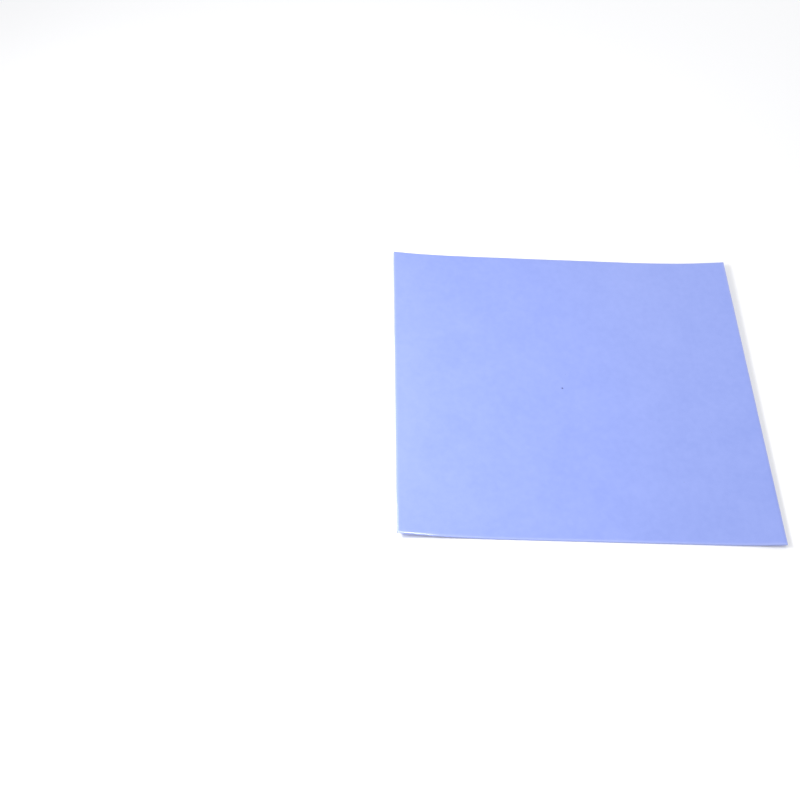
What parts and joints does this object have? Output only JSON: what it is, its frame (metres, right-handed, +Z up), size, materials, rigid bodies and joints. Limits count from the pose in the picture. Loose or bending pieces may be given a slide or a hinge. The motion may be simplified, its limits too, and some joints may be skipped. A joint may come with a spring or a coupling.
{
  "type": "thermal pad sheet",
  "caption": "Thin square sheet of soft blue thermal pad, knife-cut, with a slight curl left in it, for trimming to fit between a chip and a heatsink.",
  "frame": {"origin": "on the floor under the middle of the sheet, in the plane of the underside's flat band", "axes": "+X along the front edge to the right, +Y towards the back edge, +Z up through the thickness"},
  "size_m": [0.1, 0.1, 0.0023],
  "materials": {
    "pad_silicone": "satin, smooth and slightly tacky"
  },
  "bodies": {
    "root": {"pad_sheet": "pad_silicone"}
  },
  "joints": []
}
